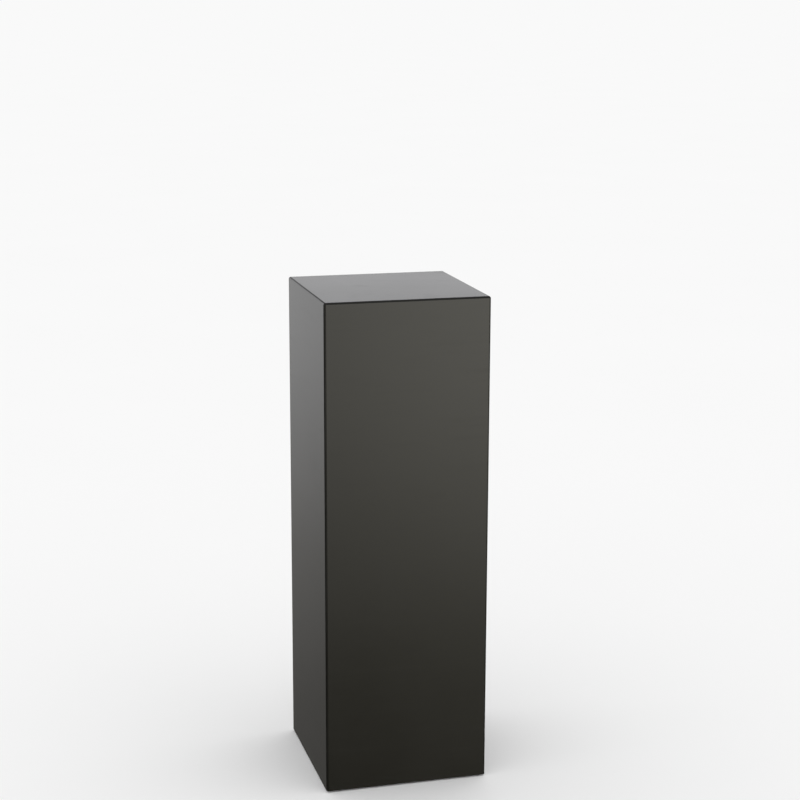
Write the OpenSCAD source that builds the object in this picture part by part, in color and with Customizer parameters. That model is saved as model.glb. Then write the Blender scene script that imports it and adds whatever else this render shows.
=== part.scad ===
// Display plinth: a tall box of lacquered boards, mitred all round, on four hidden levelling feet.
// Millimetres. Origin on the floor at the centre of the footprint, +X right, +Y back, +Z up.
// The rest position has every levelling foot screwed fully in.

/* [Plinth] */
// Width across the front
plinth_w = 300; // [240:1:450]
// Depth from front to back
plinth_d = 300; // [240:1:450]
// Height of the top face above the floor, feet screwed in
plinth_h = 900; // [600:1:1300]
// Thickness of the side boards and of the top board
panel_t = 18; // [15:0.5:25]
// Radius of the eased arrises, uprights and top
edge_r = 4; // [1.5:0.5:6]
// Radius of the eased lower edge
lower_edge_r = 1; // [0.5:0.5:4]
// Shadow gap between the floor and the side boards
foot_gap = 3; // [2:0.5:8]

/* [Inner frame] */
// Square section of the softwood posts, rails and cleats
batten_s = 32; // [24:1:40]
// Height of the stiffening board's underside above the floor
brace_z = 444; // [350:1:560]
// Thickness of the stiffening board
brace_t = 12; // [9:1:18]
// Diameter of the hand hole in the stiffening board
hand_hole_d = 60; // [40:1:80]
// Thickness of the base board
base_t = 18; // [15:0.5:25]
// Side of the square blocks that take the feet
block_s = 60; // [50:1:75]
// Height of those blocks
block_h = 30; // [25:1:40]
// Gap left round a board or batten that is slipped into place
fit_gap = 0.5; // [0.3:0.1:0.8]

/* [Biscuits] */
// Length of a flat beech biscuit
biscuit_l = 53; // [44:1:64]
// Width of a biscuit, half of it in each board
biscuit_w = 19; // [16:0.5:21]
// Thickness of a biscuit and of its slot
biscuit_t = 4; // [3:0.5:4]
// Width left at a biscuit's blunt ends
biscuit_tip = 4; // [3:0.5:6]
// Distance of a biscuit's middle inside the mitre's inner corner
biscuit_inset = 6.5; // [5:0.5:7]
// Room round a biscuit's outline in its slot
slot_gap = 0.5; // [0.3:0.1:1]
// Biscuits in each upright corner
corner_biscuits = 4; // [3:1:6]
// Distance from a board's end to its first biscuit
biscuit_end = 90; // [60:1:110]

/* [Screws] */
// Diameter of the shank of a countersunk screw
screw_d = 4; // [3.5:0.1:4.5]
// Diameter of its head
screw_head_d = 8; // [7:0.1:9]
// Depth of its countersunk head
screw_head_h = 2.6; // [2:0.1:3]
// Length of its point
screw_point_h = 5; // [3:0.5:7]
// Radial room round a screw in its hole
screw_gap = 0.1; // [0.05:0.01:0.2]
// Depth of the cross recess in its head
recess_h = 1.4; // [1:0.1:1.8]
// Length of a screw in the lacquered boards
panel_bite = 12; // [10:1:14]
// Length of a screw in a cleat or rail, through the stiffening or base board
rail_bite = 21; // [16:1:23]
// Distance from a rail's end to its upright screw
upright_screw_end = 30; // [20:1:35]
// Distance from a rail's end to its level screw
level_screw_end = 54; // [48:1:58]
// Screws along each face of a post
post_screws_n = 4; // [3:1:5]
// Distance from a post's end to its first screw
post_screw_end = 60; // [40:1:80]
// Height between the screws of a post's two faces
post_screw_step = 40; // [20:1:60]
// Distance of a foot block's screws from the middle of the block, each way
block_screw_offset = 19; // [16:1:21]

/* [Levelling feet] */
// Diameter of the foot's pad
pad_d = 40; // [34:1:50]
// Height of the pad's top above the floor
pad_h = 13; // [12:0.5:16]
// Height of the pad's upright rim
rim_h = 4; // [3:0.5:6]
// Diameter of the flat on top of the pad
pad_top_d = 18; // [16:0.5:22]
// Diameter of the rubber sole
sole_d = 34; // [28:1:36]
// Thickness of the sole
sole_t = 2; // [1.5:0.1:3]
// Depth of the pad's recess that holds the sole
sole_seat = 1.2; // [0.8:0.1:1.4]
// Diameter of the ball on the stud's lower end
ball_d = 12; // [10:0.5:13]
// Radial clearance of the ball in its socket
ball_gap = 0.1; // [0.05:0.01:0.1]
// Thickness of the pad under the socket
socket_floor = 1.2; // [1:0.1:1.6]
// Diameter of the neck above the ball
neck_d = 8; // [6:0.5:8.5]
// Width across the flats of the stud's hexagon
hex_af = 14; // [13:0.5:17]
// Height of the hexagon
hex_h = 6; // [5:0.5:9]
// Gap between the hexagon and the pad
hex_gap = 0.5; // [0.3:0.1:1]
// Gap between the hexagon and the insert, feet screwed in
stop_gap = 0.5; // [0.3:0.1:1]
// Outside diameter of the thread
stud_d = 10; // [8:0.5:12]
// Length left clear above the stud in its bore
stud_room = 4; // [3:0.5:8]
// Chamfer on the stud's end
stud_chamfer = 1; // [0.5:0.1:1.5]
// Radial clearance between the stud and its insert
thread_gap = 0.08; // [0.05:0.01:0.1]
// Radial room round the stud in its block
bore_room = 0.75; // [0.5:0.05:1.5]
// Diameter of the insert's body
insert_d = 14; // [13:0.5:17]
// Diameter of the insert's flange
flange_d = 19; // [17:0.5:24]
// Thickness of the flange
flange_h = 1.6; // [1:0.1:2.5]

/* [Hidden] */
$fn = 64;

lacquer = "#454542";
softwood = "#d9b98a";
plywood = "#c39a63";
beech = "#dfb48a";
zinc = "#b9bdc2";
nylon = "#202022";
rubber = "#333333";

// Numbers of the sides and corners, anticlockwise from the front seen from above
FRONT = 0;
RIGHT = 1;
BACK = 2;
LEFT = 3;
FRONT_LEFT = 0;
FRONT_RIGHT = 1;
BACK_RIGHT = 2;
BACK_LEFT = 3;

over = 1;                                   // how far a cutter runs past what it cuts
inner_w = plinth_w - 2 * panel_t;
inner_d = plinth_d - 2 * panel_t;
under_top = plinth_h - panel_t;
base_z = pad_h + hex_gap + hex_h + stop_gap;
base_top = base_z + base_t;
block_top = base_top + block_h;
post_l = under_top - block_top;
biscuit_place = panel_t - biscuit_inset;    // from the outer faces to a biscuit's middle
biscuit_step = (plinth_h - foot_gap - 2 * biscuit_end) / (corner_biscuits - 1);
post_screw_gap = (post_l - 2 * post_screw_end - post_screw_step) / (post_screws_n - 1);
panel_screw_l = batten_s + panel_bite;
foot_x = plinth_w / 2 - panel_t - block_s / 2;
foot_y = plinth_d / 2 - panel_t - block_s / 2;
ball_z = sole_t + socket_floor + ball_d / 2 + ball_gap;
pad_z = sole_t - sole_seat;
hex_z = pad_h + hex_gap;
stud_z = hex_z + hex_h;
stud_top = block_top - stud_room;

function side_w(side) = side % 2 == 0 ? plinth_w : plinth_d;
function side_reach(side) = side % 2 == 0 ? plinth_d / 2 : plinth_w / 2;
function rail_l(side, corner_s) = side_w(side) - 2 * (panel_t + corner_s + fit_gap);
// A post's screws run to the front or back board low, and to a side board one step higher
function post_screw_zs(side) = [for (i = [0 : post_screws_n - 1])
    block_top + post_screw_end + i * post_screw_gap + (side % 2) * post_screw_step];
function biscuit_zs() = [for (i = [0 : corner_biscuits - 1]) foot_gap + biscuit_end + i * biscuit_step];
function ends(l, inset) = [-l / 2 + inset, l / 2 - inset];
// Where the biscuits of a top mitre lie along their board
function top_biscuit_xs(side) = ends(side_w(side), biscuit_end);

// Turns a piece modelled at the front to its side
module on_side(side) rotate([0, 0, 90 * side]) children();

// Mirrors a piece modelled at the front left to its corner
module at_corner(corner)
    mirror([corner == FRONT_RIGHT || corner == BACK_RIGHT ? 1 : 0, 0, 0])
        mirror([0, corner >= BACK_RIGHT ? 1 : 0, 0]) children();

// Cuts the square edge along Z at the origin to a round, material towards +X +Y
module arris_cut(l, r) difference() {
    translate([-over, -over, -l / 2]) cube([r + over, r + over, l]);
    translate([r, r, -l / 2 - over]) cylinder(h = l + 2 * over, r = r);
}

module upright_arris_cuts(w, reach) for (m = [0, 1]) mirror([m, 0, 0])
    translate([-w / 2, -reach, plinth_h / 2]) arris_cut(plinth_h + 2 * over, edge_r);

module top_arris_cut(w, reach) translate([0, -reach, plinth_h])
    rotate([0, 90, 0]) arris_cut(w + 2 * over, edge_r);

module lower_arris_cut(w, reach) translate([0, -reach, foot_gap])
    rotate([0, -90, 0]) arris_cut(w + 2 * over, lower_edge_r);

// A biscuit lying flat, its length along X
module biscuit(gap = 0) {
    sagitta = (biscuit_w - biscuit_tip) / 2;
    arc_r = (pow(biscuit_l / 2, 2) + pow(sagitta, 2)) / (2 * sagitta);
    linear_extrude(height = biscuit_t, center = true) intersection() {
        translate([0, arc_r - biscuit_w / 2]) circle(r = arc_r + gap);
        translate([0, biscuit_w / 2 - arc_r]) circle(r = arc_r + gap);
        square([biscuit_l + 2 * gap, biscuit_w + 2 * gap], center = true);
    }
}

// The biscuits of the upright mitre at the front left
module corner_biscuit_row(w, reach, gap = 0) for (z = biscuit_zs())
    translate([biscuit_place - w / 2, biscuit_place - reach, z])
        rotate([0, 0, 45]) rotate([0, 90, 0]) biscuit(gap);

// The biscuits of the top mitre of the front board
module top_biscuit_row(side, gap = 0) for (x = top_biscuit_xs(side))
    translate([x, biscuit_place - side_reach(side), plinth_h - biscuit_place])
        rotate([45, 0, 0]) biscuit(gap);

// A countersunk screw with its head at the origin, driven down
module screw(l) difference() {
    union() {
        translate([0, 0, -screw_head_h]) cylinder(h = screw_head_h, d1 = screw_d, d2 = screw_head_d);
        translate([0, 0, screw_point_h - l]) cylinder(h = l - screw_point_h - screw_head_h, d = screw_d);
        translate([0, 0, -l]) cylinder(h = screw_point_h, d1 = screw_d / 6, d2 = screw_d);
    }
    for (a = [0, 90]) rotate([0, 0, a])
        translate([-screw_d / 2, -screw_d / 10, -recess_h]) cube([screw_d, screw_d / 5, recess_h + over]);
}

module screw_hole(l) {
    translate([0, 0, -screw_head_h])
        cylinder(h = screw_head_h, d1 = screw_d + 2 * screw_gap, d2 = screw_head_d + 2 * screw_gap);
    cylinder(h = over, d = screw_head_d + 2 * screw_gap);
    translate([0, 0, -l - screw_gap]) cylinder(h = l, d = screw_d + 2 * screw_gap);
}

// Places for the level screws that fix a front batten to its board, at heights zs
module level_places(side, xs, zs) for (x = xs, z = zs)
    translate([x, panel_t + batten_s - side_reach(side), z]) rotate([-90, 0, 0]) children();

// Places for the upright screws of a front batten, heads at height z
module upright_places(side, xs, z) for (x = xs)
    translate([x, panel_t + batten_s / 2 - side_reach(side), z]) children();

module post_places(side) for (m = [0, 1]) mirror([m, 0, 0])
    level_places(side, [panel_t + batten_s / 2 - side_w(side) / 2], post_screw_zs(side)) children();

module top_rail_places(side)
    level_places(side, ends(rail_l(side, batten_s), level_screw_end), [under_top - batten_s / 2]) children();

module cleat_places(side)
    level_places(side, ends(rail_l(side, batten_s), level_screw_end), [brace_z - batten_s / 2]) children();

module base_rail_places(side)
    level_places(side, ends(rail_l(side, block_s), level_screw_end), [base_top + batten_s / 2]) children();

// Screws up through the top rails into the top board
module top_places(side) upright_places(side, ends(rail_l(side, batten_s), upright_screw_end),
    under_top - batten_s) mirror([0, 0, 1]) children();

module stiffener_places(side)
    upright_places(side, ends(rail_l(side, batten_s), upright_screw_end), brace_z + brace_t) children();

// Screws up through the base board into the base rails
module base_places(side) upright_places(side, ends(rail_l(side, block_s), upright_screw_end),
    base_z) mirror([0, 0, 1]) children();

// Screws up through the base board into the foot block at the front left
module block_places() for (s = [-1, 1])
    translate([s * block_screw_offset - foot_x, -s * block_screw_offset - foot_y, base_z])
        mirror([0, 0, 1]) children();

// One upright board, modelled at the front, mitred at both sides and at the top
module side_board(side) {
    w = side_w(side);
    reach = side_reach(side);
    color(lacquer) difference() {
        translate([0, 0, foot_gap]) linear_extrude(height = plinth_h - foot_gap) polygon([
            [-w / 2, -reach], [w / 2, -reach], [w / 2 - panel_t, panel_t - reach], [panel_t - w / 2, panel_t - reach]]);
        translate([0, -reach, plinth_h]) rotate([-45, 0, 0])
            translate([-w / 2 - over, -panel_t, 0]) cube([w + 2 * over, 3 * panel_t, 2 * panel_t]);
        upright_arris_cuts(w, reach);
        top_arris_cut(w, reach);
        lower_arris_cut(w, reach);
        for (m = [0, 1]) mirror([m, 0, 0]) corner_biscuit_row(w, reach, slot_gap);
        top_biscuit_row(side, slot_gap);
        post_places(side) screw_hole(panel_screw_l);
        top_rail_places(side) screw_hole(panel_screw_l);
        cleat_places(side) screw_hole(panel_screw_l);
        base_rail_places(side) screw_hole(panel_screw_l);
    }
}

module front_panel() on_side(FRONT) side_board(FRONT);
module right_panel() on_side(RIGHT) side_board(RIGHT);
module back_panel() on_side(BACK) side_board(BACK);
module left_panel() on_side(LEFT) side_board(LEFT);

// A board's section across its two mitred edges, wide face up
module mitred_section(w) polygon([
    [-w / 2, 0], [w / 2, 0], [w / 2 - panel_t, -panel_t], [panel_t - w / 2, -panel_t]]);

module top_panel() color(lacquer) difference() {
    translate([0, 0, plinth_h]) intersection() {
        rotate([90, 0, 0]) linear_extrude(height = plinth_d, center = true) mitred_section(plinth_w);
        rotate([90, 0, 90]) linear_extrude(height = plinth_w, center = true) mitred_section(plinth_d);
    }
    for (side = [FRONT, RIGHT, BACK, LEFT]) on_side(side) {
        top_arris_cut(side_w(side), side_reach(side));
        top_biscuit_row(side, slot_gap);
        top_places(side) screw_hole(panel_screw_l);
    }
    for (m = [0, 1]) mirror([0, m, 0]) upright_arris_cuts(plinth_w, plinth_d / 2);
}

module corner_biscuit_set(corner) color(beech) at_corner(corner) corner_biscuit_row(plinth_w, plinth_d / 2);
module biscuits_front_left() corner_biscuit_set(FRONT_LEFT);
module biscuits_front_right() corner_biscuit_set(FRONT_RIGHT);
module biscuits_back_right() corner_biscuit_set(BACK_RIGHT);
module biscuits_back_left() corner_biscuit_set(BACK_LEFT);
module biscuits_top() color(beech) for (side = [FRONT, RIGHT, BACK, LEFT]) on_side(side) top_biscuit_row(side);

// A post in its corner, from its foot block to the top board
module post(corner) color(softwood) difference() {
    at_corner(corner) translate([panel_t - plinth_w / 2, panel_t - plinth_d / 2, block_top])
        cube([batten_s, batten_s, post_l]);
    for (side = [FRONT, RIGHT, BACK, LEFT]) on_side(side) post_places(side) screw_hole(panel_screw_l);
}
module post_front_left() post(FRONT_LEFT);
module post_front_right() post(FRONT_RIGHT);
module post_back_right() post(BACK_RIGHT);
module post_back_left() post(BACK_LEFT);

// A level batten against the front board, between corner pieces of width corner_s
module batten(side, corner_s, z) {
    l = rail_l(side, corner_s);
    translate([-l / 2, panel_t - side_reach(side), z]) cube([l, batten_s, batten_s]);
}

module top_rail(side) color(softwood) on_side(side) difference() {
    batten(side, batten_s, under_top - batten_s);
    top_rail_places(side) screw_hole(panel_screw_l);
    top_places(side) screw_hole(panel_screw_l);
}
module top_rail_front() top_rail(FRONT);
module top_rail_right() top_rail(RIGHT);
module top_rail_back() top_rail(BACK);
module top_rail_left() top_rail(LEFT);

module cleat(side) color(softwood) on_side(side) difference() {
    batten(side, batten_s, brace_z - batten_s);
    cleat_places(side) screw_hole(panel_screw_l);
    stiffener_places(side) screw_hole(brace_t + rail_bite);
}
module cleat_front() cleat(FRONT);
module cleat_right() cleat(RIGHT);
module cleat_back() cleat(BACK);
module cleat_left() cleat(LEFT);

// The board half way up that keeps the sides flat, notched round the posts
module stiffening_board() color(plywood) difference() {
    translate([fit_gap - inner_w / 2, fit_gap - inner_d / 2, brace_z])
        cube([inner_w - 2 * fit_gap, inner_d - 2 * fit_gap, brace_t]);
    for (corner = [FRONT_LEFT, FRONT_RIGHT, BACK_RIGHT, BACK_LEFT]) at_corner(corner)
        translate([-inner_w / 2, -inner_d / 2, brace_z - over])
            cube([batten_s + fit_gap, batten_s + fit_gap, brace_t + 2 * over]);
    translate([0, 0, brace_z - over]) cylinder(h = brace_t + 2 * over, d = hand_hole_d);
    for (side = [FRONT, RIGHT, BACK, LEFT]) on_side(side) stiffener_places(side) screw_hole(brace_t + rail_bite);
}

module base_rail(side) color(softwood) on_side(side) difference() {
    batten(side, block_s, base_top);
    base_rail_places(side) screw_hole(panel_screw_l);
    base_places(side) screw_hole(base_t + rail_bite);
}
module base_rail_front() base_rail(FRONT);
module base_rail_right() base_rail(RIGHT);
module base_rail_back() base_rail(BACK);
module base_rail_left() base_rail(LEFT);

module base_board() color(plywood) difference() {
    translate([fit_gap - inner_w / 2, fit_gap - inner_d / 2, base_z])
        cube([inner_w - 2 * fit_gap, inner_d - 2 * fit_gap, base_t]);
    for (side = [FRONT, RIGHT, BACK, LEFT]) on_side(side) base_places(side) screw_hole(base_t + rail_bite);
    for (corner = [FRONT_LEFT, FRONT_RIGHT, BACK_RIGHT, BACK_LEFT]) at_corner(corner) {
        block_places() screw_hole(base_t + rail_bite);
        translate([-foot_x, -foot_y, base_z - over])
            cylinder(h = base_t + 2 * over, d = insert_d + 2 * screw_gap);
        translate([-foot_x, -foot_y, base_z - over])
            cylinder(h = flange_h + over, d = flange_d + 2 * screw_gap);
    }
}

module foot_block(corner) color(plywood) at_corner(corner) difference() {
    translate([-foot_x - block_s / 2, -foot_y - block_s / 2, base_top]) cube([block_s, block_s, block_h]);
    translate([-foot_x, -foot_y, base_top - over])
        cylinder(h = block_h + 2 * over, d = stud_d + 2 * bore_room);
    block_places() screw_hole(base_t + rail_bite);
}
module foot_block_front_left() foot_block(FRONT_LEFT);
module foot_block_front_right() foot_block(FRONT_RIGHT);
module foot_block_back_right() foot_block(BACK_RIGHT);
module foot_block_back_left() foot_block(BACK_LEFT);

module all_sides() color(zinc) for (side = [FRONT, RIGHT, BACK, LEFT]) on_side(side) {
    $side = side;
    children();
}
module post_screws() all_sides() post_places($side) screw(panel_screw_l);
module top_screws() all_sides() top_places($side) screw(panel_screw_l);
module rail_screws() all_sides() top_rail_places($side) screw(panel_screw_l);
module cleat_screws() all_sides() cleat_places($side) screw(panel_screw_l);
module stiffener_screws() all_sides() stiffener_places($side) screw(brace_t + rail_bite);
module base_rail_screws() all_sides() base_rail_places($side) screw(panel_screw_l);
module base_screws() all_sides() base_places($side) screw(base_t + rail_bite);
module block_screws() color(zinc) for (corner = [FRONT_LEFT, FRONT_RIGHT, BACK_RIGHT, BACK_LEFT])
    at_corner(corner) block_places() screw(base_t + rail_bite);

// Everything of a foot is turned about the stud's axis, at the front left
module on_foot(corner) at_corner(corner) translate([-foot_x, -foot_y, 0]) children();

// The flanged steel nut let into the base board
module insert(corner) color(zinc) on_foot(corner) difference() {
    union() {
        translate([0, 0, base_z]) cylinder(h = base_t, d = insert_d);
        translate([0, 0, base_z]) cylinder(h = flange_h, d = flange_d);
    }
    translate([0, 0, base_z - over]) cylinder(h = base_t + 2 * over, d = stud_d + 2 * thread_gap);
}
module insert_front_left() insert(FRONT_LEFT);
module insert_front_right() insert(FRONT_RIGHT);
module insert_back_right() insert(BACK_RIGHT);
module insert_back_left() insert(BACK_LEFT);

// The threaded stud, with its ball below and its hexagon above the pad
module stud(corner) color(zinc) on_foot(corner) union() {
    translate([0, 0, ball_z]) sphere(d = ball_d);
    translate([0, 0, ball_z]) cylinder(h = hex_z + over - ball_z, d = neck_d);
    translate([0, 0, hex_z]) cylinder(h = hex_h, d = hex_af / cos(30), $fn = 6);
    translate([0, 0, stud_z]) cylinder(h = stud_top - stud_z - stud_chamfer, d = stud_d);
    translate([0, 0, stud_top - stud_chamfer])
        cylinder(h = stud_chamfer, d1 = stud_d, d2 = stud_d - 2 * stud_chamfer);
}
module stud_front_left() stud(FRONT_LEFT);
module stud_front_right() stud(FRONT_RIGHT);
module stud_back_right() stud(BACK_RIGHT);
module stud_back_left() stud(BACK_LEFT);

// The pad that stands on the floor, with its ball socket
module pad(corner) color(nylon) on_foot(corner) difference() {
    union() {
        translate([0, 0, pad_z]) cylinder(h = rim_h - pad_z, d = pad_d);
        translate([0, 0, rim_h]) cylinder(h = pad_h - rim_h, d1 = pad_d, d2 = pad_top_d);
    }
    translate([0, 0, pad_z - over]) cylinder(h = sole_seat + over, d = sole_d + 2 * ball_gap);
    translate([0, 0, ball_z]) sphere(d = ball_d + 2 * ball_gap);
}
module pad_front_left() pad(FRONT_LEFT);
module pad_front_right() pad(FRONT_RIGHT);
module pad_back_right() pad(BACK_RIGHT);
module pad_back_left() pad(BACK_LEFT);

module sole(corner) color(rubber) on_foot(corner) cylinder(h = sole_t, d = sole_d);
module sole_front_left() sole(FRONT_LEFT);
module sole_front_right() sole(FRONT_RIGHT);
module sole_back_right() sole(BACK_RIGHT);
module sole_back_left() sole(BACK_LEFT);

front_panel();
right_panel();
back_panel();
left_panel();
top_panel();
biscuits_front_left();
biscuits_front_right();
biscuits_back_right();
biscuits_back_left();
biscuits_top();
post_front_left();
post_front_right();
post_back_right();
post_back_left();
top_rail_front();
top_rail_right();
top_rail_back();
top_rail_left();
cleat_front();
cleat_right();
cleat_back();
cleat_left();
stiffening_board();
base_rail_front();
base_rail_right();
base_rail_back();
base_rail_left();
base_board();
foot_block_front_left();
foot_block_front_right();
foot_block_back_right();
foot_block_back_left();
post_screws();
top_screws();
rail_screws();
cleat_screws();
stiffener_screws();
base_rail_screws();
base_screws();
block_screws();
insert_front_left();
insert_front_right();
insert_back_right();
insert_back_left();
stud_front_left();
stud_front_right();
stud_back_right();
stud_back_left();
pad_front_left();
pad_front_right();
pad_back_right();
pad_back_left();
sole_front_left();
sole_front_right();
sole_back_right();
sole_back_left();
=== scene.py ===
# %% [markdown]
# A display plinth: a tall box of five lacquered boards that stands on four hidden levelling feet.
# The CAD model comes in as a fixed frame. What shows is remade here with finer edges and real
# finishes, and everything is in metres in the CAD's own axes: +X right, +Y back, +Z up.

# %% Load the frame
import math

import bmesh
import bpy
from mathutils import Matrix, Vector


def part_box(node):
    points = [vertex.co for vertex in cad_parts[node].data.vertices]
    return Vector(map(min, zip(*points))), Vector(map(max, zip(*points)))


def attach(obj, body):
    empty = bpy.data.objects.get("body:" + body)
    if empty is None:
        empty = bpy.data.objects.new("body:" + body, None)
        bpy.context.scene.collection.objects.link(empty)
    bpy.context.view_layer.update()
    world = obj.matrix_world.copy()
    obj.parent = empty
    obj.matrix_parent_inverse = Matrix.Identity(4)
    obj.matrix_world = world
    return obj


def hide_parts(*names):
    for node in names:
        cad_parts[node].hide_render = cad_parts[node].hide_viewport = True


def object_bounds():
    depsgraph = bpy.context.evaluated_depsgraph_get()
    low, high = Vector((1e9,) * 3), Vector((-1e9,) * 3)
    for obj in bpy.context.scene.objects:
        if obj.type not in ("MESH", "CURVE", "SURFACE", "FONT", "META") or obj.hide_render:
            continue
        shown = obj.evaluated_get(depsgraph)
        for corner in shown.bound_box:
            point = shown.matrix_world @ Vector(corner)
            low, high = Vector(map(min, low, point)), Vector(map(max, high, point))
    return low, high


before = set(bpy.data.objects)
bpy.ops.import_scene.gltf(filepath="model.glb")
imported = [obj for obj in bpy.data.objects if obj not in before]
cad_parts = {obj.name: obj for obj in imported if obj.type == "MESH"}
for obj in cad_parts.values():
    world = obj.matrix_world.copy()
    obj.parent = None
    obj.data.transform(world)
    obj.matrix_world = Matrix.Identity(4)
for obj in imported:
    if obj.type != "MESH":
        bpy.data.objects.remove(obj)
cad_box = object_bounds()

print("CAD box:", [tuple(round(c, 4) for c in corner) for corner in cad_box])

# %% [markdown]
# The main sizes are read from the frame, so the boards follow the CAD if one gets thicker or the
# box gets taller. Only what a box doesn't tell is repeated: here the radii of the rounded edges,
# and further down the details of the feet.

# %% Read the main sizes from the CAD boards
MM = 0.001
CORNERS = ["front_left", "front_right", "back_right", "back_left"]
SIDES = ["front", "right", "back", "left"]

front_low, front_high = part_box("front_panel")
half_width, half_depth, height = cad_box[1]
board_thickness = front_high.y - front_low.y
shadow_gap = front_low.z
EDGE_RADIUS = 4 * MM
LOWER_EDGE_RADIUS = 1 * MM
print(f"boards {board_thickness / MM:.1f} mm thick, {shadow_gap / MM:.1f} mm above the floor")

# %% [markdown]
# A material is a small program of nodes. Writing its sums as Python keeps it readable, so this
# class wraps one socket: adding or multiplying two of them adds the Math node that does it,
# and `node` adds any other kind of node.

# %% A socket that can be used in a sum
class Wire:
    """An output socket of a node tree, or the bare tree that nodes are added to."""

    def __init__(self, tree, socket=None):
        self.tree = tree
        self.socket = socket

    def node(self, kind, settings=None, sockets=None, out=0):
        """Adds a node: its settings first, then the values or links of its sockets."""
        made = self.tree.nodes.new(kind)
        for name, value in (settings or {}).items():
            if name == "stops":
                set_stops(made.color_ramp, value)
            else:
                setattr(made, name, value)
        for name, value in (sockets or {}).items():
            if isinstance(value, Wire):
                self.tree.links.new(value.socket, made.inputs[name])
            else:
                made.inputs[name].default_value = value
        return Wire(self.tree, made.outputs[out]) if made.outputs else None

    def math(self, operation, *values):
        """Adds a Math node that works on these values."""
        return self.node("ShaderNodeMath", {"operation": operation}, dict(enumerate(values)))

    def __add__(self, other):
        return self.math("ADD", self, other)

    def __radd__(self, other):
        return self.math("ADD", other, self)

    def __sub__(self, other):
        return self.math("SUBTRACT", self, other)

    def __rsub__(self, other):
        return self.math("SUBTRACT", other, self)

    def __mul__(self, other):
        return self.math("MULTIPLY", self, other)

    def __rmul__(self, other):
        return self.math("MULTIPLY", other, self)

    def __truediv__(self, other):
        return self.math("DIVIDE", self, other)


def set_stops(band, stops):
    """Gives a band of colours these (place, colour or grey value) stops."""
    while len(band.elements) < len(stops):
        band.elements.new(1)
    for element, (place, colour) in zip(band.elements, stops):
        element.position = place
        element.color = (*colour, 1) if hasattr(colour, "__len__") else (colour, colour, colour, 1)


print("sockets add, subtract, multiply and divide")

# %% [markdown]
# The patterns below are used by more than one finish. All of them read Object coordinates, which
# are the object's own metres, so a pattern stays put on its piece when a foot is screwed out.

# %% Patterns that the finishes share
def grey(value):
    """A neutral colour."""
    return (value, value, value, 1)


def blend(factor, first, second):
    """A colour between two colours."""
    return factor.node("ShaderNodeMix", {"data_type": "RGBA"},
                       {0: factor, 6: first, 7: second}, out=2)


def ramp(value, low, high):
    """A number that goes from 0 to 1 as value goes from low to high, and no further."""
    return value.node("ShaderNodeMapRange", {"clamp": True},
                      {"Value": value, "From Min": low, "From Max": high})


def noise(place, per_metre, detail=2.0, roughness=0.5, distortion=0.0):
    """Soft random spots, about 0.5 on average, with this many to the metre."""
    return place.node("ShaderNodeTexNoise", {},
                      {"Vector": place, "Scale": per_metre, "Detail": detail,
                       "Roughness": roughness, "Distortion": distortion})


def stretched(place, scale, offset=(0, 0, 0)):
    """The place with each axis scaled: a pattern runs long where the scale is small."""
    return place.node("ShaderNodeMapping", {},
                      {"Vector": place, "Scale": scale, "Location": offset})


def bumped(height_value, depth):
    """A normal for a surface that rises by depth metres where height_value goes from 0 to 1."""
    return height_value.node("ShaderNodeBump", {}, {"Height": height_value, "Distance": depth},
                             out="Normal")


def axes(place):
    """The X, Y and Z of a place."""
    split = place.tree.nodes.new("ShaderNodeSeparateXYZ")
    place.tree.links.new(place.socket, split.inputs[0])
    return [Wire(place.tree, output) for output in split.outputs]


def new_finish(name):
    """A new material, and the Object coordinates in its tree."""
    material = bpy.data.materials.new(name)
    material.use_nodes = True
    material.node_tree.nodes.clear()
    return material, Wire(material.node_tree).node("ShaderNodeTexCoord", out="Object")


def close_finish(material, **sockets):
    """Ends a material with the shader, whose sockets are given with _ for each space."""
    tree = Wire(material.node_tree)
    named = {name.replace("_", " "): value for name, value in sockets.items()}
    shader = tree.node("ShaderNodeBsdfPrincipled", {}, named)
    tree.node("ShaderNodeOutputMaterial", {}, {"Surface": shader})
    return material


print("patterns ready")

# %% [markdown]
# The boards are medium-density fibreboard under a graphite, semi-gloss lacquer. Sprayed lacquer
# isn't a mirror: it dries with a very fine orange peel, it is a little duller in soft patches,
# and it has hair-fine marks from years of dusting. Inside the box the fibreboard is bare and
# brown, which is found from how deep a point lies under the outer skin. The lower ends of the
# boards are lacquered too, though not as deep.

# %% Lacquer outside, bare fibreboard inside
LACQUER = (0.0072, 0.0068, 0.0054, 1)
LACQUER_WORN = (0.0094, 0.0090, 0.0075, 1)
FIBRE_DARK = (0.23, 0.145, 0.082, 1)
FIBRE_PALE = (0.40, 0.285, 0.180, 1)
LACQUER_ROUGHNESS = 0.150
FIBRE_ROUGHNESS = 0.85
LACQUER_REFRACTION = 1.5
SKIN_DEPTH, BARE_DEPTH = 2.2 * MM, 2.6 * MM
END_SKIN_DEPTH = 1.0 * MM
FIBRE_HEIGHT = 0.10 * MM
PEEL_SHARE = 0.10


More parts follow.
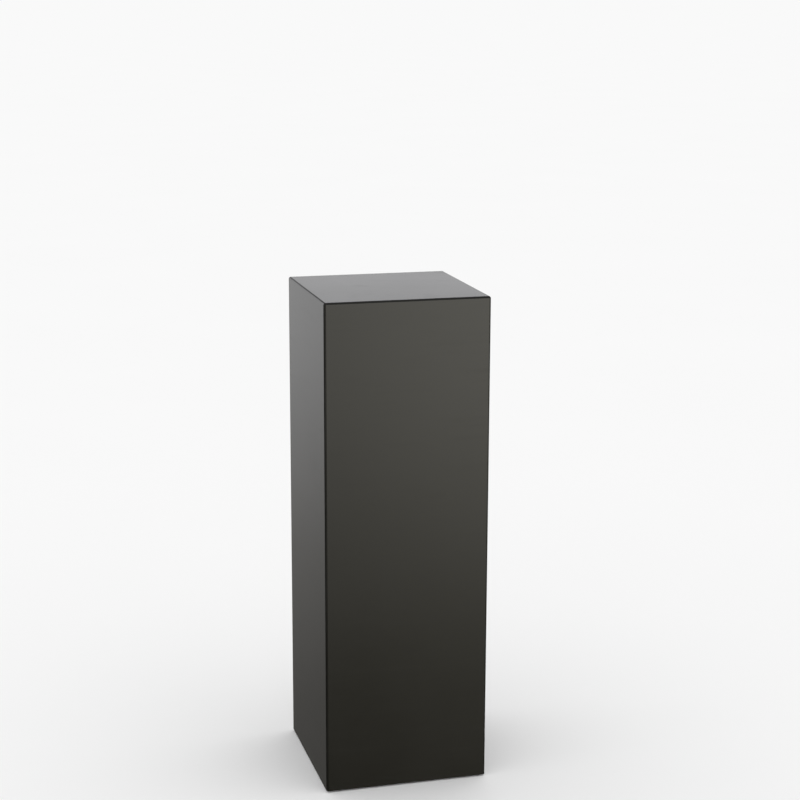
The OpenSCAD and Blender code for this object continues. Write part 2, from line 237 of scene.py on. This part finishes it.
def make_board_finish():
    """Graphite lacquer on the outer skin and brown fibreboard under it."""
    material, place = new_finish("lacquered_fibreboard")
    x, y, z = axes(place)
    from_sides = half_width - place.math("ABSOLUTE", x)
    from_ends = half_depth - place.math("ABSOLUTE", y)
    depth = place.math("MINIMUM", place.math("MINIMUM", from_sides, from_ends), height - z)
    from_lower_ends = z - shadow_gap + (SKIN_DEPTH - END_SKIN_DEPTH)
    depth = place.math("MINIMUM", depth, from_lower_ends)
    bare = ramp(depth, SKIN_DEPTH, BARE_DEPTH)

    clouds = noise(place, 5.0, detail=3)
    peel = noise(place, 420.0, detail=1)
    wiping = noise(stretched(place, (9, 9, 120)), 1.0, detail=4, roughness=0.6)
    fibres = noise(stretched(place, (700, 700, 1500)), 1.0, detail=4, roughness=0.65)

    paint = blend(ramp(clouds, 0.35, 0.70), LACQUER, LACQUER_WORN)
    board = blend(ramp(fibres, 0.30, 0.70), FIBRE_DARK, FIBRE_PALE)
    dull = LACQUER_ROUGHNESS + 0.045 * clouds + 0.035 * ramp(wiping, 0.55, 0.75)
    relief = peel * (1 - bare) * PEEL_SHARE + fibres * bare
    return close_finish(
        material,
        Base_Color=blend(bare, paint, board),
        Roughness=dull * (1 - bare) + FIBRE_ROUGHNESS * bare,
        IOR=LACQUER_REFRACTION,
        Normal=bumped(relief, FIBRE_HEIGHT),
    )


board_finish = make_board_finish()
print("made", board_finish.name)

# %% [markdown]
# The five boards are sawn from one idea: a solid block with every outer edge rounded, cut up by
# the 45 degree mitres of the real joints. Because both boards of a joint come from the same
# rounded block, the arris runs across the mitre without a step. The bevels have an odd number
# of segments so that the mitre falls in the middle of one.

# %% One block with its edges rounded
UPPER_SEGMENTS = 11
LOWER_SEGMENTS = 7
ROUND_PROFILE = 0.5
TOUCH = 1e-6


def round_edges(shape, edges, radius, segments):
    """Rounds these edges to a quarter circle."""
    bmesh.ops.bevel(shape, geom=edges, offset=radius, offset_type="OFFSET", affect="EDGES",
                    segments=segments, profile=ROUND_PROFILE, material=-1)


def rounded_block():
    """The outside of the plinth as one solid block."""
    block = bmesh.new()
    size = (2 * half_width, 2 * half_depth, height - shadow_gap)
    bmesh.ops.create_cube(block, size=1)
    bmesh.ops.scale(block, vec=size, verts=block.verts)
    bmesh.ops.translate(block, vec=(0, 0, (height + shadow_gap) / 2), verts=block.verts)
    upper = [e for e in block.edges if max(v.co.z for v in e.verts) > height - TOUCH]
    round_edges(block, upper, EDGE_RADIUS, UPPER_SEGMENTS)
    lower = [e for e in block.edges if max(v.co.z for v in e.verts) < shadow_gap + TOUCH]
    round_edges(block, lower, LOWER_EDGE_RADIUS, LOWER_SEGMENTS)
    return block


def cut_off(shape, at, away):
    """Cuts a shape with a plane and drops what lies on the side that away points to."""
    everything = shape.verts[:] + shape.edges[:] + shape.faces[:]
    bmesh.ops.bisect_plane(shape, geom=everything, dist=TOUCH / 10, plane_co=at,
                           plane_no=Vector(away).normalized(), clear_outer=True)


def close_ends(shape):
    """Puts a flat face across every open cut."""
    rim = [e for e in shape.edges if e.is_boundary]
    bmesh.ops.holes_fill(shape, edges=rim, sides=0)


def saw(shape, at, away):
    """Cuts a solid with a plane and closes the cut."""
    cut_off(shape, at, away)
    close_ends(shape)


block = rounded_block()
print("rounded block:", len(block.faces), "faces")

# %% [markdown]
# A finished shape becomes an object that rides on its CAD body. Curved parts are shaded smooth,
# and an edge is kept sharp where two faces meet at more than 30 degrees. A wide flat face next
# to a thin rounded one would pick up a false gradient, so normals are weighted by area.

# %% Turn a shape into a piece
SHARP = math.radians(30)


def add_piece(name, shape, finish, body, slot, *stands_for, weighted=False):
    """Makes an object with its finish and body, and hides the CAD nodes it replaces; the slot
    argument is not used.
    """
    for face in shape.faces:
        face.smooth = True
    for edge in shape.edges:
        edge.smooth = len(edge.link_faces) == 2 and edge.calc_face_angle(math.pi) < SHARP
    mesh = bpy.data.meshes.new(name)
    shape.to_mesh(mesh)
    shape.free()
    mesh.materials.append(finish)
    piece = bpy.data.objects.new(name, mesh)
    bpy.context.scene.collection.objects.link(piece)
    if weighted:
        even = piece.modifiers.new("even_shading", "WEIGHTED_NORMAL")
        even.mode = "FACE_AREA"
        even.keep_sharp = True
    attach(piece, body)
    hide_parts(*stands_for)
    return piece


print("faces that meet at", round(math.degrees(SHARP)), "degrees or more keep a sharp edge")

# %% [markdown]
# An upright board keeps the outer skin of its side, is one board thick, and is mitred at both
# uprights and under the top. Cutting at the front and turning the block for the other sides
# would turn the pattern too, so the saw planes are turned instead.

# %% Saw the four upright boards
def upright_board(side):
    """One side of the box, cut out of a copy of the rounded block."""
    turn = Matrix.Rotation(math.radians(90 * SIDES.index(side)), 3, "Z")
    reach = half_depth if side in ("front", "back") else half_width
    half_length = half_width if side in ("front", "back") else half_depth
    shape = block.copy()
    cuts = [((0, board_thickness - reach, 0), (0, 1, 0)),
            ((-half_length, -reach, 0), (-1, 1, 0)),
            ((half_length, -reach, 0), (1, 1, 0)),
            ((0, -reach, height), (0, 1, 1))]
    for at, away in cuts:
        saw(shape, turn @ Vector(at), turn @ Vector(away))
    return shape


for side in SIDES:
    board = add_piece(f"{side}_board", upright_board(side), board_finish, "plinth", "lacquer",
                      f"{side}_panel", weighted=True)
    print(board.name, len(board.data.polygons), "faces")

# %% [markdown]
# The top board is mitred on all four edges and drops in like a lid, so that no edge of it shows.

# %% Saw the top board
def top_board():
    """The lid of the box."""
    shape = block.copy()
    saw(shape, (0, 0, height - board_thickness), (0, 0, -1))
    for across, reach in (((0, -1, 0), half_depth), ((0, 1, 0), half_depth),
                          ((-1, 0, 0), half_width), ((1, 0, 0), half_width)):
        outwards = Vector(across)
        saw(shape, outwards * reach + Vector((0, 0, height)), outwards + Vector((0, 0, -1)))
    return shape


board = add_piece("top_board", top_board(), board_finish, "plinth", "lacquer", "top_panel",
                  weighted=True)
block.free()
print(board.name, len(board.data.polygons), "faces")

# %% [markdown]
# The battens inside are planed softwood. Growth rings run along each batten as thin darker
# lines, so the ring pattern is turned to the batten's own direction and its middle is put
# outside the wood, where the heart of the tree was. At a scale of 1 the ring pattern repeats
# every 0.314 m, so the scale is that length over the spacing of the rings.

# %% Softwood with its grain along the batten
RING_SPACING = 2.6 * MM
RINGS_APART_AT_ONE = 0.314
HEART = (0.062, 0.071, 0.049)
ALONG_GRAIN = 0.06
PORES_ACROSS, PORES_ALONG = 420.0, 9.0
SOFTWOOD_PALE = (0.66, 0.47, 0.27, 1)
SOFTWOOD_DARK = (0.43, 0.25, 0.115, 1)


def make_softwood(along):
    """Softwood whose grain runs along the X, Y or Z axis."""
    material, place = new_finish(f"softwood_{along.lower()}")
    index = "XYZ".index(along)
    slow = [1.0] * 3
    slow[index] = ALONG_GRAIN
    bent = stretched(place, slow, HEART)
    wander = noise(bent, 22.0, detail=3)
    rings = bent.node("ShaderNodeTexWave",
                      {"wave_type": "RINGS", "rings_direction": along, "wave_profile": "SAW"},
                      {"Vector": bent, "Scale": RINGS_APART_AT_ONE / RING_SPACING,
                       "Distortion": 2.4, "Detail": 2.0, "Detail Scale": 0.9})
    lines = [PORES_ACROSS] * 3
    lines[index] = PORES_ALONG
    pores = noise(stretched(place, lines), 1.0, detail=3, roughness=0.6)
    tone = 0.55 * rings + 0.25 * pores + 0.20 * wander
    wood = blend(ramp(tone, 0.25, 0.80), SOFTWOOD_PALE, SOFTWOOD_DARK)
    return close_finish(material, Base_Color=wood, Roughness=0.55 + 0.25 * pores,
                        Normal=bumped(pores, 0.12 * MM))


softwood = {along: make_softwood(along) for along in "XYZ"}
print("made", [m.name for m in softwood.values()])

# %% [markdown]
# Birch plywood shows two things: on its faces the broad figure of a peeled veneer, and on its
# edges thin layers that turn dark and pale by turns, because every other sheet lies across.
# Each sheet takes its figure from a place a little further on, so that no two are alike.

# %% Plywood in layers
PLY = 1.5 * MM
NEXT_SHEET = (0.37, 0.11)
BIRCH_PALE = (0.60, 0.43, 0.25, 1)
BIRCH_DARK = (0.37, 0.225, 0.112, 1)


def make_plywood():
    """Birch plywood whose sheets lie across each other by turns."""
    material, place = new_finish("plywood_birch")
    z = axes(place)[2]
    sheet = place.math("FLOOR", z / PLY)
    crossed = place.math("MODULO", sheet, 2.0)
    apart = place.node("ShaderNodeCombineXYZ", {},
                       {"X": sheet * NEXT_SHEET[0], "Y": sheet * NEXT_SHEET[1], "Z": z})
    own = place.node("ShaderNodeVectorMath", {"operation": "ADD"}, {0: place, 1: apart})
    figure = noise(stretched(own, (3, 26, 1)), 1.0, detail=4, distortion=1.6)
    figure_across = noise(stretched(own, (26, 3, 1)), 1.0, detail=4, distortion=1.6)
    fibre = noise(stretched(own, (25, 900, 40)), 1.0, detail=2)
    fibre_across = noise(stretched(own, (900, 25, 40)), 1.0, detail=2)
    veins = figure * (1 - crossed) + figure_across * crossed
    pores = fibre * (1 - crossed) + fibre_across * crossed
    tone = 0.60 * veins + 0.25 * pores + 0.15 * crossed
    wood = blend(ramp(tone, 0.25, 0.75), BIRCH_PALE, BIRCH_DARK)
    return close_finish(material, Base_Color=wood, Roughness=0.50 + 0.25 * pores,
                        Normal=bumped(pores, 0.10 * MM))


plywood = make_plywood()
print("made", plywood.name)

# %% [markdown]
# Biscuits are stamped from pressed beech, which is pale and even, with short darker flecks.

# %% Beech for the biscuits
BEECH_PALE = (0.56, 0.36, 0.215, 1)
BEECH_FLECK = (0.34, 0.185, 0.095, 1)


def make_beech():
    """Pale beech with short flecks."""
    material, place = new_finish("beech_biscuit")
    flecks = noise(stretched(place, (260, 260, 1100)), 1.0, detail=3, roughness=0.6,
                   distortion=0.4)
    wood = blend(ramp(flecks, 0.45, 0.68), BEECH_PALE, BEECH_FLECK)
    return close_finish(material, Base_Color=wood, Roughness=0.70 + 0.12 * flecks,
                        Normal=bumped(flecks, 0.08 * MM))


beech = make_beech()
print("made", beech.name)

# %% [markdown]
# Screws, threaded inserts and studs are zinc-plated steel. The plating is bright but slightly
# cloudy, with fine turning marks, and it is a little warmer where it is thin.

# %% Zinc plate
ZINC_COOL = (0.60, 0.615, 0.64, 1)
ZINC_WARM = (0.69, 0.685, 0.66, 1)


def make_zinc():
    """Bright, slightly cloudy zinc plate."""
    material, place = new_finish("zinc_plate")
    cloud = noise(place, 160.0, detail=3)
    turning = noise(stretched(place, (60, 60, 5200)), 1.0, detail=2)
    plate = blend(ramp(cloud, 0.35, 0.65), ZINC_COOL, ZINC_WARM)
    return close_finish(material, Base_Color=plate, Metallic=1.0,
                        Roughness=0.24 + 0.14 * cloud + 0.06 * turning,
                        Normal=bumped(turning, 0.010 * MM))


zinc = make_zinc()
print("made", zinc.name)

# %% [markdown]
# The foot's pad is moulded black nylon with the fine grain of a spark-eroded mould, and its
# sole is soft dark rubber with a little more dust on it.

# %% Moulded nylon and rubber
NYLON = (0.014, 0.014, 0.015, 1)
NYLON_DUSTY = (0.024, 0.024, 0.024, 1)
RUBBER = (0.030, 0.030, 0.029, 1)
RUBBER_DUSTY = (0.062, 0.060, 0.056, 1)


def make_moulded(name, clean, dusty, grain_per_metre, roughness):
    """A dark moulded plastic or rubber."""
    material, place = new_finish(name)
    grain = noise(place, grain_per_metre, detail=2)
    dust = noise(place, 90.0, detail=4, roughness=0.6)
    skin = blend(ramp(dust, 0.40, 0.75), clean, dusty)
    return close_finish(material, Base_Color=skin,
                        Roughness=roughness + 0.14 * grain + 0.06 * dust,
                        Normal=bumped(grain, 0.05 * MM))


nylon = make_moulded("nylon_black", NYLON, NYLON_DUSTY, 1500.0, 0.42)
rubber = make_moulded("rubber_dark", RUBBER, RUBBER_DUSTY, 900.0, 0.72)
print("made", nylon.name, "and", rubber.name)

# %% [markdown]
# The wood and the screws inside keep their CAD shapes, which are right as they are, and only
# get their finishes. Posts stand upright, so their grain runs along Z; the rails and cleats of
# the front and back run along X, and those of the sides along Y.

# %% Give the CAD pieces their finishes
REMADE = ("stud_", "insert_", "pad_", "sole_")


def finish_for(node):
    """The finish of a CAD node that is shown as it is."""
    if node.endswith("screws"):
        return zinc
    if node.startswith("post_"):
        return softwood["Z"]
    if node.startswith(("top_rail_", "cleat_", "base_rail_")):
        return softwood["X" if node.endswith(("front", "back")) else "Y"]
    if node.startswith("biscuits_"):
        return beech
    return plywood


carried = [node for node in sorted(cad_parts)
           if not node.endswith("_panel") and not node.startswith(REMADE)]
for node in carried:
    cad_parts[node].material_slots[0].material = finish_for(node)
print(len(carried), "CAD pieces finished")

# %% [markdown]
# A levelling foot is turned and moulded, so almost all of it is a half outline spun once round
# its axis. An outline that starts away from the axis goes round a hole and is joined up end to
# end. The ends of any other lie on the axis, where they are merged, which closes the shape.

# %% Spin an outline round a foot's axis
ROUND_STEPS = 64


def foot_axis(corner):
    """Where the axis of a corner's foot meets the floor."""
    low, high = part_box(f"pad_{corner}")
    return Vector(((low.x + high.x) / 2, (low.y + high.y) / 2, 0))


def spun(outline, steps=ROUND_STEPS):
    """A closed solid spun from (radius, height) points given in millimetres."""
    shape = bmesh.new()
    points = [shape.verts.new((r * MM, 0, z * MM)) for r, z in outline]
    has_hole = outline[0][0] > 0
    following = points[1:] + points[:1] if has_hole else points[1:]
    lines = [shape.edges.new(pair) for pair in zip(points, following)]
    bmesh.ops.spin(shape, geom=points + lines, cent=(0, 0, 0), axis=(0, 0, 1), angle=math.tau,
                   steps=steps, use_merge=True)
    bmesh.ops.remove_doubles(shape, verts=shape.verts, dist=TOUCH)
    bmesh.ops.recalc_face_normals(shape, faces=shape.faces)
    return shape


def arc(centre, radius, start, end, steps):
    """Points on an arc of an outline, with angles in degrees from the radius to the height."""
    angles = [math.radians(start + (end - start) * i / steps) for i in range(steps + 1)]
    return [(centre[0] + radius * math.cos(a), centre[1] + radius * math.sin(a)) for a in angles]


def add_foot_pieces(name, make_shape, finish, body, slot, node, weighted=False):
    """Puts one piece in each corner, and gives back the last; {} in body is the corner."""
    for corner in CORNERS:
        shape = make_shape()
        bmesh.ops.translate(shape, vec=axis_at[corner], verts=shape.verts)
        piece = add_piece(f"{name}_{corner}", shape, finish, body.format(corner), slot,
                          f"{node}_{corner}", weighted=weighted)
    return piece


axis_at = {corner: foot_axis(corner) for corner in CORNERS}
print({corner: tuple(round(c, 3) for c in at) for corner, at in axis_at.items()})

# %% [markdown]
# The pad is a low nylon cone with a rounded rim. A socket in its top holds the stud's ball, and a
# shallow seat underneath holds the sole. These and the other sizes of the foot are millimetres.

# %% Mould the four pads
BALL_Z = 9.3
SOCKET_R = 6.1
PAD_R, RIM_Z, PAD_Z, PAD_LOW = 20.0, 4.0, 13.0, 0.8
LOW_ROUND, RIM_ROUND, LIP_ROUND = 0.6, 0.9, 0.6
SEAT_R, SEAT_Z = 17.1, 2.0
CONE = [(17.0, 5.6), (14.2, 7.6), (12.0, 9.5), (10.6, 11.1)]
LIP_R, MOUTH_R, MOUTH_DROP = 8.5, 5.6, 0.3


def pad_shape():
    """A pad, with the socket above and the sole's seat below."""
    mouth = math.degrees(math.asin((PAD_Z - MOUTH_DROP - BALL_Z) / SOCKET_R))
    outline = [(0, SEAT_Z), (SEAT_R, SEAT_Z), (SEAT_R, PAD_LOW)]
    outline += arc((PAD_R - LOW_ROUND, PAD_LOW + LOW_ROUND), LOW_ROUND, -90, 0, 4)
    outline += arc((PAD_R - RIM_ROUND, RIM_Z - RIM_ROUND), RIM_ROUND, 0, 52, 5)
    outline += CONE
    outline += arc((LIP_R, PAD_Z - LIP_ROUND), LIP_ROUND, 38, 90, 4)
    outline += [(MOUTH_R, PAD_Z)]
    outline += arc((0, BALL_Z), SOCKET_R, mouth, -90, 20)
    return spun(outline)


pad = add_foot_pieces("foot_pad", pad_shape, nylon, "foot_{}", "nylon", "pad")
print("4 pads of", len(pad.data.polygons), "faces")

# %% [markdown]
# The sole is a rubber disc that stands a little proud of the pad, with three ring grooves in its
# underside so that it grips a smooth floor.

# %% Mould the four soles
SOLE_R, SOLE_T, SOLE_ROUND = 17.0, 2.0, 0.35
GROOVES_AT, GROOVE_DEPTH = (4.5, 8.5, 12.5), 0.5
GROOVE_HALF, GROOVE_FLOOR_HALF = 0.9, 0.6


def sole_shape():
    """A sole with its grooves."""
    outline = [(0, 0)]
    for middle in GROOVES_AT:
        outline += [(middle - GROOVE_HALF, 0), (middle - GROOVE_FLOOR_HALF, GROOVE_DEPTH),
                    (middle + GROOVE_FLOOR_HALF, GROOVE_DEPTH), (middle + GROOVE_HALF, 0)]
    outline += arc((SOLE_R - SOLE_ROUND, SOLE_ROUND), SOLE_ROUND, -90, 0, 3)
    outline += [(SOLE_R, SOLE_T), (0, SOLE_T)]
    return spun(outline)


sole = add_foot_pieces("foot_sole", sole_shape, rubber, "foot_{}", "rubber", "sole")
print("4 soles of", len(sole.data.polygons), "faces")

# %% [markdown]
# The stud's thread is a real helix: the outline of one turn, 1.5 mm high, is swept round and up
# at once, and the top of each turn is merged with the bottom of the next. It is right-handed,
# so it winds out of its insert just as fast as the CAD joint lets the foot drop. The top of the
# rod is turned down to a cone, so that it finds its hole.

# %% Wind a thread
PITCH = 1.5
THREAD_R, ROOT_R = 5.0, 4.08
FLANK_FOOT, CREST_LOW, CREST_TOP = 0.375, 0.844, 1.031
TIP_CHAMFER = 1.0
TURN_STEPS = 36
TRAVEL = 20.0


def thread(bottom, top):
    """A threaded rod between two heights, in millimetres, closed at both ends."""
    turns = math.ceil((top - bottom) / PITCH) + 2
    start = bottom - PITCH
    ridge = [(ROOT_R, 0), (ROOT_R, FLANK_FOOT), (THREAD_R, CREST_LOW), (THREAD_R, CREST_TOP),
             (ROOT_R, PITCH)]
    shape = bmesh.new()
    points = [shape.verts.new((r * MM, 0, (start + z) * MM)) for r, z in ridge]
    lines = [shape.edges.new(pair) for pair in zip(points, points[1:])]
    bmesh.ops.spin(shape, geom=points + lines, cent=(0, 0, 0), axis=(0, 0, 1),
                   angle=math.tau * turns, steps=TURN_STEPS * turns,
                   dvec=(0, 0, PITCH * MM / TURN_STEPS), use_merge=False)
    bmesh.ops.remove_doubles(shape, verts=shape.verts, dist=TOUCH)
    cut_off(shape, (0, 0, bottom * MM), (0, 0, -1))
    cut_off(shape, (0, 0, top * MM), (0, 0, 1))
    for vert in shape.verts:
        reach = math.hypot(vert.co.x, vert.co.y)
        most = (THREAD_R - max(0.0, vert.co.z / MM - (top - TIP_CHAMFER))) * MM
        if reach > most:
            vert.co.xy *= most / reach
    close_ends(shape)
    bmesh.ops.recalc_face_normals(shape, faces=shape.faces)
    return shape


print(f"pitch {PITCH} mm, so {TRAVEL / PITCH:.2f} turns for the full {TRAVEL:.0f} mm of travel")

# %% [markdown]
# Below the thread a spanner hexagon and a ball are turned from the same bar. The blank is spun
# round with its chamfers, then six saw cuts make the flats, which leaves the curved corners
# that a real hexagon has. The rod stands a little way into the hexagon.

# %% Turn the four studs
HEX_R, HEX_FLAT, HEX_LOW, HEX_TOP = 8.083, 7.0, 13.5, 19.5
HEX_CHAMFER, HEX_CHAMFER_IN = 0.6, 0.15
BALL_R = 6.0
BLANK_STEPS = 72
ROD_SUNK = 0.4
STUD_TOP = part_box("stud_front_left")[1].z / MM


def stud_blank():
    """The ball and the hexagon, without the thread."""
    shoulder = math.degrees(math.asin((HEX_LOW - BALL_Z) / BALL_R))
    outline = arc((0, BALL_Z), BALL_R, -90, shoulder, 22)
    outline += [(HEX_FLAT - HEX_CHAMFER_IN, HEX_LOW), (HEX_R, HEX_LOW + HEX_CHAMFER),
                (HEX_R, HEX_TOP - HEX_CHAMFER), (HEX_FLAT - HEX_CHAMFER_IN, HEX_TOP),
                (0, HEX_TOP)]
    shape = spun(outline, steps=BLANK_STEPS)
    for i in range(6):
        turn = math.radians(30 + 60 * i)
        away = Vector((math.cos(turn), math.sin(turn), 0))
        saw(shape, away * HEX_FLAT * MM, away)
    return shape


def stud_shape():
    """The blank and its threaded rod in one shape."""
    shape = stud_blank()
    rod = thread(HEX_TOP - ROD_SUNK, STUD_TOP)
    rod_mesh = bpy.data.meshes.new("rod")
    rod.to_mesh(rod_mesh)
    rod.free()
    shape.from_mesh(rod_mesh)
    bpy.data.meshes.remove(rod_mesh)
    return shape


stud = add_foot_pieces("foot_stud", stud_shape, zinc, "screw_{}", "zinc", "stud", weighted=True)
print("4 studs of", len(stud.data.polygons), "faces")

# %% [markdown]
# A flanged steel insert is let into the base board from below and takes the stud's thread.

# %% Turn the four inserts
INSERT_LOW, INSERT_TOP = (corner.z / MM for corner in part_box("insert_front_left"))
INSERT_R, FLANGE_R, FLANGE_T, BORE_R = 7.0, 9.5, 1.6, 5.08
FLANGE_ROUND, LEAD_IN, LEAD_OUT = 0.3, 0.6, 0.4
NOSE_H, NOSE_IN = 0.8, 0.5


def insert_shape():
    """An insert with its flange at the bottom and its bore right through."""
    low, top = INSERT_LOW, INSERT_TOP
    return spun([(BORE_R + LEAD_IN, low), (FLANGE_R - FLANGE_ROUND, low),
                 (FLANGE_R, low + FLANGE_ROUND), (FLANGE_R, low + FLANGE_T),
                 (INSERT_R, low + FLANGE_T), (INSERT_R, top - NOSE_H), (INSERT_R - NOSE_IN, top),
                 (BORE_R + LEAD_OUT, top), (BORE_R, top - LEAD_OUT), (BORE_R, low + LEAD_IN)])


insert = add_foot_pieces("foot_insert", insert_shape, zinc, "plinth", "zinc", "insert")
print("4 inserts of", len(insert.data.polygons), "faces")

# %% [markdown]
# The floor is a wide pale sheet. It rides on one foot, so that when the feet are screwed out
# the floor stays under them and the box is lifted. It is left out of mirror reflections,
# because the lacquer takes its sheen from the studio round it.

# %% Lay the floor
FLOOR_REACH = 200.0
FLOOR_WHITE = 0.92
FLOOR_CLOUD = 0.006


def make_floor_finish():
    """Matt white, a little uneven."""
    material, place = new_finish("studio_floor")
    cloud = noise(place, 1.3, detail=3)
    white = blend(cloud, grey(FLOOR_WHITE - FLOOR_CLOUD), grey(FLOOR_WHITE + FLOOR_CLOUD))
    return close_finish(material, Base_Color=white, Roughness=0.9 + 0.04 * cloud,
                        Specular_IOR_Level=0.0)


sheet = bmesh.new()
bmesh.ops.create_grid(sheet, x_segments=1, y_segments=1, size=FLOOR_REACH)
floor_mesh = bpy.data.meshes.new("floor")
sheet.to_mesh(floor_mesh)
sheet.free()
floor_mesh.materials.append(make_floor_finish())
floor = bpy.data.objects.new("floor", floor_mesh)
bpy.context.scene.collection.objects.link(floor)
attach(floor, "foot_front_left")
floor.visible_glossy = False
print("floor", floor.dimensions[:2])

# %% [markdown]
# Dark lacquer is seen by what it mirrors, so the studio is a soft gradient rather than a lamp.
# One light stands behind the viewer and one behind the plinth. Each fades below eye level, the
# one in front to a dark band with a low glow under it, and each is narrow enough that the gaps
# beside it draw the rounded edges as thin dark lines. A light is a colour by height times a
# strength by heading, where height and heading say how far up and how far to the right a
# direction points, both from -1 to 1.

# %% The light in front and behind
FRONT_BRIGHTEST = 2.52
BACK_BRIGHTEST = 2.40


def by_height(z, low, high, stops):
    """A colour that depends on how far up a direction points, from low to high."""
    return z.node("ShaderNodeValToRGB", {"stops": stops}, {"Fac": ramp(z, low, high)})


def by_heading(heading, stops):
    """A strength that depends on how far to the right a direction points."""
    spread = [((place + 1) / 2, strength) for place, strength in stops]
    return heading.node("ShaderNodeValToRGB", {"stops": spread},
                        {"Fac": ramp(heading, -1.0, 1.0)})


def lit(colour, strength, brightest):
    """A colour times a strength, times the brightest value, which may be above 1."""
    shaded = colour.node("ShaderNodeVectorMath", {"operation": "MULTIPLY"},
                         {0: colour, 1: strength})
    return shaded.node("ShaderNodeVectorMath", {"operation": "SCALE"},
                       {0: shaded, "Scale": brightest})


def front_light(heading, z):
    """The light behind the viewer, which the front and left boards mirror."""
    colour = by_height(z, -0.62, -0.16, [
        (0.00, (0.200, 0.192, 0.165)), (0.26, (0.150, 0.143, 0.118)),
        (0.43, (0.072, 0.066, 0.047)), (0.52, (0.130, 0.122, 0.092)),
        (0.63, (0.310, 0.297, 0.248)), (0.75, (0.605, 0.586, 0.516)),
        (0.88, (0.895, 0.872, 0.780)), (1.00, (1.010, 0.986, 0.887))])
    strength = by_heading(heading, [
        (-0.88, 0.03), (-0.79, 0.40), (-0.63, 0.40), (-0.50, 0.04), (-0.15, 0.13), (0.10, 0.42),
        (0.227, 0.69), (0.30, 0.98), (0.36, 1.00), (0.70, 0.24), (1.00, 0.20)])
    return lit(colour, strength, FRONT_BRIGHTEST)


def back_light(heading, z):
    """The light behind the plinth."""
    colour = by_height(z, -0.42, 0.18, [
        (0.00, (0.142, 0.138, 0.130)), (0.08, (0.168, 0.163, 0.154)),
        (0.20, (0.305, 0.299, 0.288)), (0.41, (0.725, 0.724, 0.726)),
        (0.90, (1.000, 1.000, 1.017))])
    strength = by_heading(heading, [
        (-0.42, 0.04), (-0.32, 0.405), (0.40, 0.405), (0.60, 0.95), (0.82, 0.95), (0.95, 0.20)])
    return lit(colour, strength, BACK_BRIGHTEST)


print("lights up to", FRONT_BRIGHTEST, "in front and", BACK_BRIGHTEST, "behind")

# %% [markdown]
# Above eye level there is a dark gap, all over the front half and straight behind, and a soft
# box hangs over everything. On the left it is evenly bright from eye level up. Matt surfaces see
# none of this but one even soft light, and the backdrop is as pale as the floor.

# %% Light the studio
SOFT_LIGHT = 1.03
LEFT_LIGHT = 0.80
GAP = 0.06
TINY = 0.0001
SOFT_BOX = (0.36, 0.36, 0.37, 1)


def studio_gradient(direction):
    """What glossy surfaces mirror, by direction; straight up nothing is divided by zero."""
    x, y, z = axes(direction)
    level = x.math("SQRT", x * x + y * y + TINY)
    heading = x / level
    behind = ramp(y / level, -0.04, 0.04)
    lights = blend(behind, front_light(heading, z), back_light(heading, z))
    left = (1 - ramp(heading, -0.75, -0.45)) * ramp(z, -0.12, 0.08)
    lights = blend(left, lights, grey(LEFT_LIGHT))
    over_front = ramp(z, 0.14, 0.34) * (1 - behind)
    over_back = ramp(z, 0.20, 0.24) * ramp(y / level, 0.86, 0.92)
    gap = blend(x.math("MAXIMUM", over_front, over_back), lights, grey(GAP))
    return blend(ramp(z, 0.36, 0.62), gap, SOFT_BOX)


def light_studio():
    """Makes the world: the gradient in reflections, a soft light, and a plain backdrop."""
    world = bpy.data.worlds.new("studio")
    bpy.context.scene.world = world
    world.use_nodes = True
    world.node_tree.nodes.clear()
    world.cycles.sampling_method = "NONE"
    tree = Wire(world.node_tree)
    direction = tree.node("ShaderNodeTexCoord", out="Generated")
    mirrored = tree.node("ShaderNodeLightPath", out="Is Glossy Ray")
    seen = tree.node("ShaderNodeLightPath", out="Is Camera Ray")
    light = blend(mirrored, grey(SOFT_LIGHT), studio_gradient(direction))
    light = blend(seen, light, grey(SOFT_LIGHT * FLOOR_WHITE))
    background = tree.node("ShaderNodeBackground", {}, {"Color": light, "Strength": 1.0})
    tree.node("ShaderNodeOutputWorld", {}, {"Surface": background})


light_studio()
bpy.context.scene.view_settings.view_transform = "Standard"
print("studio lit")

# %% [markdown]
# The camera stands to the left of the front at a little under eye height, turned towards the
# plinth and a little down, with a long lens that keeps the uprights nearly parallel.

# %% Place the camera
EYE = (-0.825, -3.171, 1.437)
TURN, TILT, ROLL = 15.01, 12.85, 0.18
LENS, SENSOR = 82.8, 36
FARTHEST = 500


def turned(degrees, axis):
    """A turn about one axis."""
    return Matrix.Rotation(math.radians(degrees), 4, axis)


camera_data = bpy.data.cameras.new("camera")
camera_data.lens = LENS
camera_data.sensor_width = SENSOR
camera_data.clip_end = FARTHEST
camera = bpy.data.objects.new("camera", camera_data)
bpy.context.scene.collection.objects.link(camera)
camera.matrix_world = (Matrix.Translation(EYE) @ turned(-TURN, "Z") @ turned(90 - TILT, "X")
                       @ turned(ROLL, "Z"))
bpy.context.scene.camera = camera
print("camera at", EYE)
